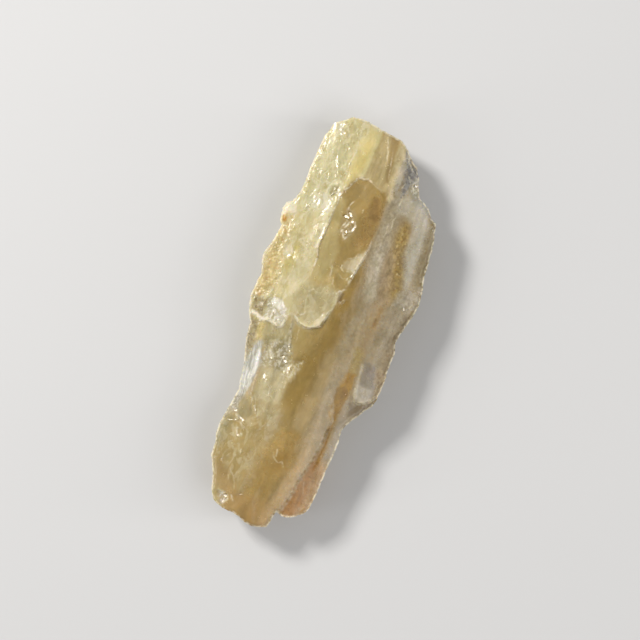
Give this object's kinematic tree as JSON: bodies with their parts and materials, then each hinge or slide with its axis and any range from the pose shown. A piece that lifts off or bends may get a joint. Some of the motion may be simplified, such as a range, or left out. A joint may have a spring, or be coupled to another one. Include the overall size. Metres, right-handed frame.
{
  "type": "hokkaidoite slice",
  "caption": "Rough hand-sized slab of banded yellow opal, broken on its face and sides and sawn flat on its back, to lie on a shelf or table.",
  "frame": {"origin": "middle of the slab's box from above, in the plane of the sawn back that it lies on", "axes": "+Z out of the broken face, +Y along the slab towards its wide upper end, +X across it"},
  "size_m": [0.0334, 0.0854, 0.0124],
  "materials": {
    "banded_opal": "waxy to glassy broken surfaces, part see-through, in bands of pale yellow, olive brown, rust and milky grey, with a finely sawn back"
  },
  "bodies": {
    "root": {"hokkaidoite_slice": "banded_opal"}
  },
  "joints": []
}
